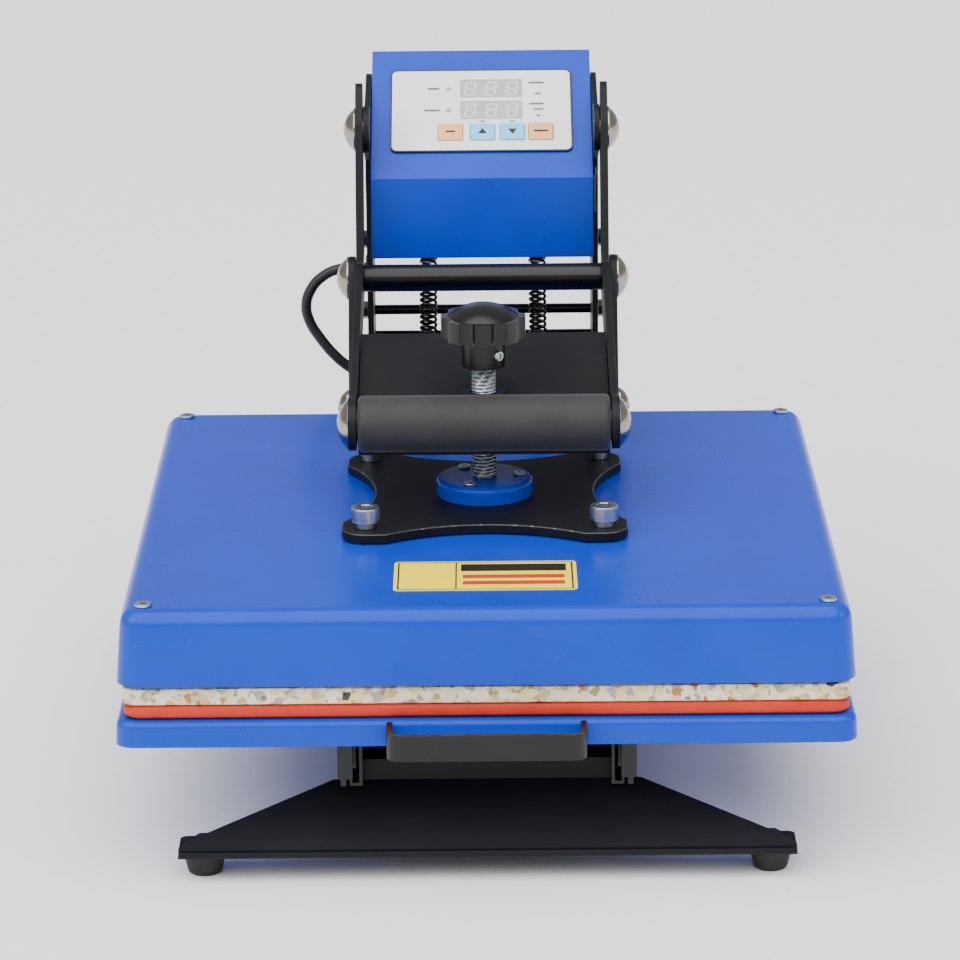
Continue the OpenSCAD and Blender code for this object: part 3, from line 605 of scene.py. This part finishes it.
class BuildBox(Step):
    """Control box shell, rear cover, inlet and switch"""
    bl_idname = "heat_press.control_box"
    bl_label = "Control box"

    def build(self, sizes):
        dressed("box_shell", "blue_powder_coat", 0.0012, segments=3)
        dressed("box_rear_cover", "blue_powder_coat", sizes.sheet_edge)
        dressed("box_screws", "zinc_plated_steel", 0.0003)
        dressed("power_inlet", "black_abs", 0.0005)
        dressed("switch_bezel", "black_abs", 0.0004)
        dressed("rocker_switch", "red_switch_plastic", 0.0009, segments=3)
        dressed("cable_grommets", "foot_rubber", 0.0005)


def bars_on(bm, boxes, z0, z1, place):
    """Flat printed bars, each (x, y, width, height), on a placed plane."""
    for x, y, w, h in boxes:
        plate(bm, rounded(w, h, min(w, h) * 0.2, (x, y), 2), z0, z1, place)


class BuildPanel(Step):
    """Overlay, display windows with unlit digits, lamps, keys and their generic print"""
    bl_idname = "heat_press.panel"
    bl_label = "Control panel"

    def build(self, sizes):
        top = 1.2 * MM
        ink = 0.08 * MM
        dressed("panel_overlay", "silver_film", 0.0002)
        dressed("display_windows", "display_lens", 0.0002)
        for key, material in (("key_set", "orange_key_film"), ("key_up", "sky_key_film"),
                              ("key_down", "sky_key_film"), ("key_start", "orange_key_film")):
            dressed(key, material, 0.0006, segments=3)
        self.border(top, ink)
        self.print_marks(top, ink)
        self.digits()
        self.key_marks(ink)

    def border(self, top, ink):
        bm = bmesh.new()
        outer = rounded(108.6 * MM, 67.6 * MM, 4.2 * MM)
        inner = rounded(106.6 * MM, 65.6 * MM, 3.4 * MM)
        place = on_face(0, 54.5 * MM)
        section = ((outer, 0.1 * MM), (outer, top + ink), (inner, top + ink), (inner, top - ink))
        rings = [[bm.verts.new(place @ Vector((x, y, z))) for x, y in loop] for loop, z in section]
        for a, b in zip(rings, rings[1:] + rings[:1]):
            for i in range(len(a)):
                j = (i + 1) % len(a)
                bm.faces.new((a[i], a[j], b[j], b[i]))
        bmesh.ops.recalc_face_normals(bm, faces=bm.faces)
        linked("panel_border", from_bmesh("panel_border", bm), "panel_border", "base")

    def print_marks(self, top, ink):
        bm = bmesh.new()
        marks = [(-28.5, 72.5, 7, 1.7), (-29.5, 54.5, 9.5, 1.7), (33, 77, 9, 1.6), (34, 68, 4, 1.4),
                 (33, 59.5, 9, 1.6), (34, 55, 6, 1.3), (34, 49.6, 1.8, 1.8), (0.6, 45.2, 3.5, 1.1),
                 (18.5, 45.2, 3.5, 1.1)]
        bars_on(bm, [tuple(v * MM for v in m) for m in marks], top - ink, top + ink / 2, on_face())
        linked("panel_print", from_bmesh("panel_print", bm), "grey_print", "base")
        lamps = bmesh.new()
        for y in (54.5, 72.5):
            lathe(lamps, [(0, 0.8 * MM), (1.5 * MM, 0.8 * MM), (1.5 * MM, 1.3 * MM),
                          (0.9 * MM, 1.75 * MM), (0, 1.9 * MM)], 20, on_face(-19.5 * MM, y * MM))
        linked("panel_lamps", from_bmesh("panel_lamps", lamps), "lamp_lens", "base")

    def digits(self):
        """Six unlit digits, slanted a little, of seven segments each."""
        width, height, slant = 5.4 * MM, 10.4 * MM, 0.12
        spots = []
        for row in (54.5 * MM, 72.5 * MM):
            for column in (-6.5 * MM, 6 * MM, 18.5 * MM):
                for level in (-1, 0, 1):
                    spots.append((column + slant * level * height / 2, row + level * height / 2, 0))
                for side in (-1, 1):
                    for level in (-1, 1):
                        spots.append((column + side * width / 2 + slant * level * height / 4,
                                      row + level * height / 4, DIGIT_UPRIGHT))
        points = bpy.data.meshes.new("segment_points")
        points.from_pydata([(x, y, 0.98 * MM) for x, y, _ in spots], [], [])
        turn = points.attributes.new("turn", "FLOAT", "POINT")
        turn.data.foreach_set("value", [t for _, _, t in spots])
        mesh = evaluated(segment_tree("ghost_segment"), {
            "Bar Length": 4.3 * MM, "Bar Width": 1.2 * MM, "Bar Height": 0.16 * MM}, points)
        mesh.transform(on_face())
        linked("display_digits", mesh, "ghost_segment", "base")

    def key_marks(self, ink):
        proud = 2.1 * MM
        row = 36.3 * MM
        for key, x, way in (("up_button", 0.6, 1), ("down_button", 18.5, -1)):
            bm = bmesh.new()
            tip, foot, half = way * 2.6 * MM, -way * 1.9 * MM, 2.7 * MM
            arrow = [(-half, foot), (half, foot), (0, tip)]
            plate(bm, arrow if way > 0 else arrow[::-1], proud - ink, proud + ink / 2, on_face(x * MM, row))
            linked(key + "_arrow", from_bmesh(key + "_arrow", bm), "black_print", key)
        for key, x, length in (("set_button", -18.5, 5.5), ("start_button", 35.3, 8.5)):
            bm = bmesh.new()
            bars_on(bm, [(0, 0, length * MM, 1.5 * MM)], proud - ink, proud + ink / 2, on_face(x * MM, row))
            linked(key + "_bar", from_bmesh(key + "_bar", bm), "black_print", key)


class BuildCable(Step):
    """Heater lead that loops out of the column's left side"""
    bl_idname = "heat_press.cable"
    bl_label = "Heater lead"

    def build(self, sizes):
        route = [(-71, 212, 226), (-78, 212, 226), (-88, 213, 225), (-98, 214, 220),
                 (-105, 214, 212), (-108, 214, 202), (-106, 214, 192), (-100, 213, 182),
                 (-91, 212, 171), (-83, 212, 164), (-76, 212, 160), (-71, 212, 160)]
        curve = bpy.data.curves.new("heater_lead", "CURVE")
        curve.dimensions = "3D"
        curve.bevel_depth = 3.2 * MM
        curve.bevel_resolution = 6
        curve.resolution_u = 8
        curve.use_fill_caps = True
        spline = curve.splines.new("BEZIER")
        spline.bezier_points.add(len(route) - 1)
        for point, spot in zip(spline.bezier_points, route):
            point.co = Vector(spot) * MM
            point.handle_left_type = point.handle_right_type = "AUTO"
        maker = bpy.data.objects.new("heater_lead_maker", curve)
        bpy.context.scene.collection.objects.link(maker)
        graph = bpy.context.evaluated_depsgraph_get()
        mesh = bpy.data.meshes.new_from_object(maker.evaluated_get(graph))
        bpy.data.objects.remove(maker)
        piece = linked("heater_lead", mesh, "cable_rubber", "base")
        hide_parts("heater_cable")


def slab(name, node, material, corner, edge, wobble, seed):
    """A soft slab in a CAD node's box: round corners, rounded edges and slightly uneven sides."""
    low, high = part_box(node)
    middle = (low + high) / 2
    width, depth = high.x - low.x, high.y - low.y
    inset = edge * 0.3
    rows = [(inset + edge, low.z), (inset, low.z + edge * 0.5), (0.0, low.z + edge),
            (0.0, (low.z + high.z) / 2), (0.0, high.z - edge), (inset, high.z - edge * 0.5),
            (inset + edge, high.z)]
    outline = long_outline(width, depth, corner)
    bm = bmesh.new()
    loops = []
    for k, (inward, z) in enumerate(rows):
        loop = []
        for x, y in outline:
            sway = 0.5 * math.sin(x * 310 + seed + k) * math.cos(y * 270 + 2 * seed - k)
            sway += 0.5 * math.sin((x + y) * 760 + 1.7 * k + seed)
            shift = 1 - (inward + abs(sway) * wobble) / (width / 2)
            dip = wobble * 0.5 * sway if k >= len(rows) - 2 else 0
            loop.append(bm.verts.new((middle.x + x * shift, middle.y + y * shift, z - abs(dip))))
        loops.append(loop)
    for a, b in zip(loops, loops[1:]):
        for i in range(len(a)):
            j = (i + 1) % len(a)
            bm.faces.new((a[i], a[j], b[j], b[i]))
    bm.faces.new(list(reversed(loops[0])))
    bm.faces.new(loops[-1])
    mesh = from_bmesh(name, bm)
    piece = linked(name, mesh, material, "drawer")
    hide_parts(node)
    return piece


def long_outline(width, depth, corner, step=0.004):
    """A rounded rectangle's outline with points about every step along its straight sides."""
    corners = rounded(width, depth, corner)
    points = []
    for a, b in zip(corners, corners[1:] + corners[:1]):
        length = math.dist(a, b)
        count = max(1, round(length / step))
        points += [(a[0] + (b[0] - a[0]) * i / count, a[1] + (b[1] - a[1]) * i / count)
                   for i in range(count)]
    return points


class BuildDrawer(Step):
    """Lower tray with its mat, foam pad, slides and pull handle"""
    bl_idname = "heat_press.drawer"
    bl_label = "Drawer"

    def build(self, sizes):
        dressed("lower_tray", "blue_powder_coat", 0.0006)
        dressed("drawer_brackets", "black_gloss_enamel", 0.0004)
        dressed("slide_runners", "black_gloss_enamel", 0.0005)
        dressed("handle_screws", "zinc_plated_steel", 0.0003)
        dressed("pull_handle", "black_gloss_enamel", 0.0008, segments=3)
        slab("silicone_mat_soft", "silicone_mat", "red_silicone", 9 * MM, sizes.mat_edge, 0.0002, 1.0)
        slab("foam_pad_soft", "foam_pad", "rebond_foam", 6 * MM, 0.0009, sizes.pad_wobble, 4.0)


class BuildYoke(Step):
    """Yoke frame, pressure nut and spring rod"""
    bl_idname = "heat_press.yoke"
    bl_label = "Yoke"

    def build(self, sizes):
        dressed("yoke_frame", "black_powder_coat", sizes.plate_edge)
        dressed("pressure_nut", "black_powder_coat", 0.0006)
        dressed("spring_rod", "ground_steel", 0.0003)


class BuildPlaten(Step):
    """Cover, floating bracket, bolts, pressure disc and label"""
    bl_idname = "heat_press.platen"
    bl_label = "Platen"

    def build(self, sizes):
        dressed("platen_cover", "blue_powder_coat", 0.0005)
        # cut edges lighter: worn coating and painted highlight
        dressed("floating_bracket", "black_powder_coat", 0.0006, "worn_edge_painted_highlight")
        dressed("bracket_bolts", "zinc_plated_steel", 0.0006, segments=3)
        dressed("cover_screws", "zinc_plated_steel", 0.0005)
        dressed("pressure_disc", "blue_powder_coat", 0)
        dressed("disc_screws", "zinc_plated_steel", 0.0006)
        self.knurls()
        self.label()
        self.slots()

    def knurls(self):
        """Fine ridges round the socket heads."""
        ring = evaluated(ridge_tree("zinc_plated_steel"), {
            "Radius": 7.5 * MM, "Height": 5.6 * MM, "Width": 0.5 * MM})
        spots = [Matrix.Translation((x * MM, MIDDLE_Y + y * MM, COVER_TOP + 14 * MM))
                 for x in (-65, 65) for y in (-65, 65)]
        linked("bolt_knurls", placed_copies(ring, spots), "zinc_plated_steel", "platen")

    def slots(self):
        """Cross recesses in the small screws, drawn as thin black crosses: painted shade."""
        bm = bmesh.new()
        spots = [(x * 178, y * 178, 151.6, 2.2) for x in (-1, 1) for y in (-1, 1)]
        for a in (5, 125, 245):
            spots.append((19.5 * math.cos(math.radians(a)), 19.5 * math.sin(math.radians(a)), 167.1, 1.9))
        for x, y, z, reach in spots:
            place = Matrix.Translation((x * MM, MIDDLE_Y + y * MM, z * MM)) @ Matrix.Rotation(0.6, 4, "Z")
            for w, h in ((reach * 2, 0.7), (0.7, reach * 2)):
                plate(bm, rounded(w * MM, h * MM, 0.2 * MM, steps=2), -0.3 * MM, 0.03 * MM, place)
        # the black crosses are painted shade inside the screw recesses
        linked("screw_recess_shade", from_bmesh("screw_recess_shade", bm), "black_print", "platen")

    def label(self):
        """Plain yellow label with a frame, a dark band and two bars, and no words."""
        dressed("plain_label", "yellow_label_film", 0.0001)
        top = 150.3 * MM
        ink = 0.06 * MM
        place = Matrix.Translation((0, MIDDLE_Y - 133 * MM, top))
        bm = bmesh.new()
        for x, y, w, h in ((0, 22.6, 93, 0.9), (0, -22.6, 93, 0.9), (-46.1, 0, 0.9, 45), (46.1, 0, 0.9, 45),
                           (15, 13.5, 56, 12), (-15.5, 0, 0.8, 44)):
            plate(bm, rounded(w * MM, h * MM, 0.3 * MM, (x * MM, y * MM), 2), -ink, ink, place)
        linked("label_print", from_bmesh("label_print", bm), "black_print", "platen")
        bars = bmesh.new()
        for y in (-1.5, -12):
            plate(bars, rounded(54 * MM, 6 * MM, 0.8 * MM, (15 * MM, y * MM), 3), -ink, ink, place)
        linked("label_bars", from_bmesh("label_bars", bars), "red_silicone", "platen")


class BuildScrew(Step):
    """Threaded pressure screw, star knob and its set screw"""
    bl_idname = "heat_press.screw"
    bl_label = "Pressure screw"

    def build(self, sizes):
        length = 89 * MM
        mesh = evaluated(thread_tree("zinc_plated_steel"), {
            "Radius": 7 * MM, "Length": length, "Pitch": sizes.thread_pitch, "Depth": sizes.thread_depth})
        mesh.transform(Matrix.Translation((0, MIDDLE_Y, 161 * MM + length / 2)))
        rod = linked("threaded_screw", mesh, "zinc_plated_steel", "screw")
        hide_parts("pressure_screw")
        dressed("pressure_knob", "black_gloss_enamel", 0.0014, segments=3)
        place = (Matrix.Translation((0, MIDDLE_Y, COVER_TOP + 87 * MM))
                 @ Matrix.Rotation(math.radians(-47), 4, "Z") @ Matrix.Rotation(math.radians(90), 4, "Y"))
        bm = bmesh.new()
        lathe(bm, [(0, 9 * MM), (3.1 * MM, 9 * MM), (3.1 * MM, 12.9 * MM), (2.6 * MM, 13.4 * MM),
                   (1.6 * MM, 13.4 * MM), (1.4 * MM, 12.4 * MM), (0, 12.4 * MM)], 24, place)
        mesh = from_bmesh("knob_set_screw", bm)
        linked("knob_set_screw", mesh, "zinc_plated_steel", "screw")


class BuildToggle(Step):
    """Arms, grip, knee tube, links and dome bolts"""
    bl_idname = "heat_press.toggle"
    bl_label = "Toggle handle"

    def build(self, sizes):
        for node in ("arm_left", "arm_right", "knee_links"):
            # cut edges lighter: worn coating and painted highlight
            dressed(node, "black_powder_coat", sizes.plate_edge, "worn_edge_painted_highlight")
        dressed("grip_sleeve", "closed_cell_foam", 0)
        dressed("grip_tube", "black_gloss_enamel", 0.0003)
        dressed("knee_tube", "black_gloss_enamel", 0.0004)
        dressed("arm_bolts", "polished_stainless", 0.0005, segments=3)
        dressed("link_bolts", "polished_stainless", 0.0005, segments=3)


class BuildSprings(Step):
    """Two extension springs between the column's rod and the yoke's rod"""
    bl_idname = "heat_press.springs"
    bl_label = "Lift springs"

    def build(self, sizes):
        top = Vector((0, 212, 240)) * MM
        low = Vector((0, 167, 179)) * MM
        way = top - low
        tail = 9 * MM
        coil = evaluated(coil_tree("black_gloss_enamel"), {
            "Coil Radius": 4.6 * MM, "Wire Radius": 0.9 * MM, "Turns": sizes.spring_turns,
            "Length": way.length - 2 * tail})
        lean = Vector((0, 0, 1)).rotation_difference(way).to_matrix().to_4x4()
        bm = bmesh.new()
        for x in (-33 * MM, 33 * MM):
            side = Vector((x, 0, 0))
            copy = coil.copy()
            copy.transform(Matrix.Translation(low + side + way.normalized() * tail) @ lean)
            bm.from_mesh(copy)
            for end, start in ((low, 0.0), (top, way.length - tail - 1.5 * MM)):
                foot = Matrix.Translation(low + side + way.normalized() * start) @ lean
                lathe(bm, [(0, 0), (0.9 * MM, 0), (0.9 * MM, tail + 1.5 * MM), (0, tail + 1.5 * MM)], 8, foot)
                lathe(bm, [(0, 0), (4.8 * MM, 0), (4.8 * MM, 1.4 * MM), (0, 1.4 * MM)], 20,
                      foot @ Matrix.Translation((0, 0, tail if start == 0.0 else 0.0)))
        piece = linked("lift_spring_coils", from_bmesh("lift_spring_coils", bm), "black_gloss_enamel",
                       "base")
        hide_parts("lift_springs")
        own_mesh(piece)


class FinishInside(Step):
    """Finishes of the pieces that the covers hide"""
    bl_idname = "heat_press.inside"
    bl_label = "Inner pieces"

    def build(self, sizes):
        inside = {
            "heating_plate": "cast_aluminium", "heating_element": "oxidised_sheath",
            "insulation": "mineral_wool", "standoffs": "ground_steel",
            "thrust_washer": "bearing_brass", "circuit_board": "board_laminate"}
        for node, material in inside.items():
            data = frame["nodes"][node].data
            data.materials.clear()
            data.materials.append(MATERIALS[material])


class BuildStage(Step):
    """Floor, soft lights and camera"""
    bl_idname = "heat_press.stage"
    bl_label = "Stage"

    def build(self, sizes):
        stage = bpy.context.scene.heat_press_stage
        self.floor(stage)
        self.lights(stage)
        self.camera(stage)

    def floor(self, stage):
        half = stage.floor_size / 2
        mesh = bpy.data.meshes.new("floor")
        mesh.from_pydata([(-half, -half, 0), (half, -half, 0), (half, half, 0), (-half, half, 0)],
                         [], [(0, 1, 2, 3)])
        mesh.materials.append(MATERIALS["pale_floor"])
        floor = bpy.data.objects.new("floor", mesh)
        bpy.context.scene.collection.objects.link(floor)

    def lights(self, stage):
        world = bpy.data.worlds.new("soft_studio")
        world.use_nodes = True
        bpy.context.scene.world = world
        background = world.node_tree.nodes["Background"]
        background.inputs["Color"].default_value = (1, 1, 1, 1)
        background.inputs["Strength"].default_value = stage.ambient
        aim = Vector((0, MIDDLE_Y, 0.16))
        sun = bpy.data.lights.new("broad_light", "SUN")
        sun.energy = stage.key_light
        sun.angle = math.radians(80)
        lamp = bpy.data.objects.new("broad_light", sun)
        lamp.rotation_euler = (math.radians(24), math.radians(-8), 0)
        bpy.context.scene.collection.objects.link(lamp)
        for name, spot, size, power in (
                ("left_box", (-1.7, -0.9, 1.2), 1.0, 11), ("right_box", (1.7, -0.7, 1.0), 0.8, 7)):
            light = bpy.data.lights.new(name, "AREA")
            light.energy = power
            light.size = size
            lamp = bpy.data.objects.new(name, light)
            lamp.location = spot
            lamp.rotation_euler = (aim - Vector(spot)).to_track_quat("-Z", "Y").to_euler()
            bpy.context.scene.collection.objects.link(lamp)

    def camera(self, stage):
        aim = Vector((0, MIDDLE_Y, COVER_TOP + 12.9 * MM))
        data = bpy.data.cameras.new("camera")
        data.lens = stage.focal_length
        data.shift_x = -4.5 / 960
        camera = bpy.data.objects.new("camera", data)
        away = Vector((0, -math.cos(stage.elevation), math.sin(stage.elevation)))
        camera.location = aim + away * stage.distance
        turn = (-away).to_track_quat("-Z", "Y") @ Quaternion((0, 0, 1), stage.roll)
        camera.rotation_euler = turn.to_euler()
        bpy.context.scene.collection.objects.link(camera)
        bpy.context.scene.camera = camera


STEPS = (
    BuildMaterials, BuildStage, BuildBase, BuildColumn, BuildBox, BuildPanel, BuildCable, BuildDrawer,
    BuildYoke, BuildPlaten, BuildScrew, BuildToggle, BuildSprings, FinishInside,
)


class HeatPressPanel(bpy.types.Panel):
    """Lists the building steps in the sidebar"""
    bl_idname = "VIEW3D_PT_heat_press"
    bl_label = "Heat Press"
    bl_space_type = "VIEW_3D"
    bl_region_type = "UI"
    bl_category = "Heat Press"

    def draw(self, context):
        for group in (context.scene.heat_press_sizes, context.scene.heat_press_stage):
            for key in group.__annotations__:
                self.layout.prop(group, key)
        for step in STEPS:
            self.layout.operator(step.bl_idname)


CLASSES = (HeatPressSizes, HeatPressStage) + STEPS + (HeatPressPanel,)


def register():
    for item in CLASSES:
        bpy.utils.register_class(item)
    bpy.types.Scene.heat_press_sizes = bpy.props.PointerProperty(type=HeatPressSizes)
    bpy.types.Scene.heat_press_stage = bpy.props.PointerProperty(type=HeatPressStage)


def unregister():
    del bpy.types.Scene.heat_press_stage
    del bpy.types.Scene.heat_press_sizes
    for item in reversed(CLASSES):
        bpy.utils.unregister_class(item)


def main():
    register()
    for step in STEPS:
        group, name = step.bl_idname.split(".")
        getattr(getattr(bpy.ops, group), name)()


if __name__ == "__main__":
    main()
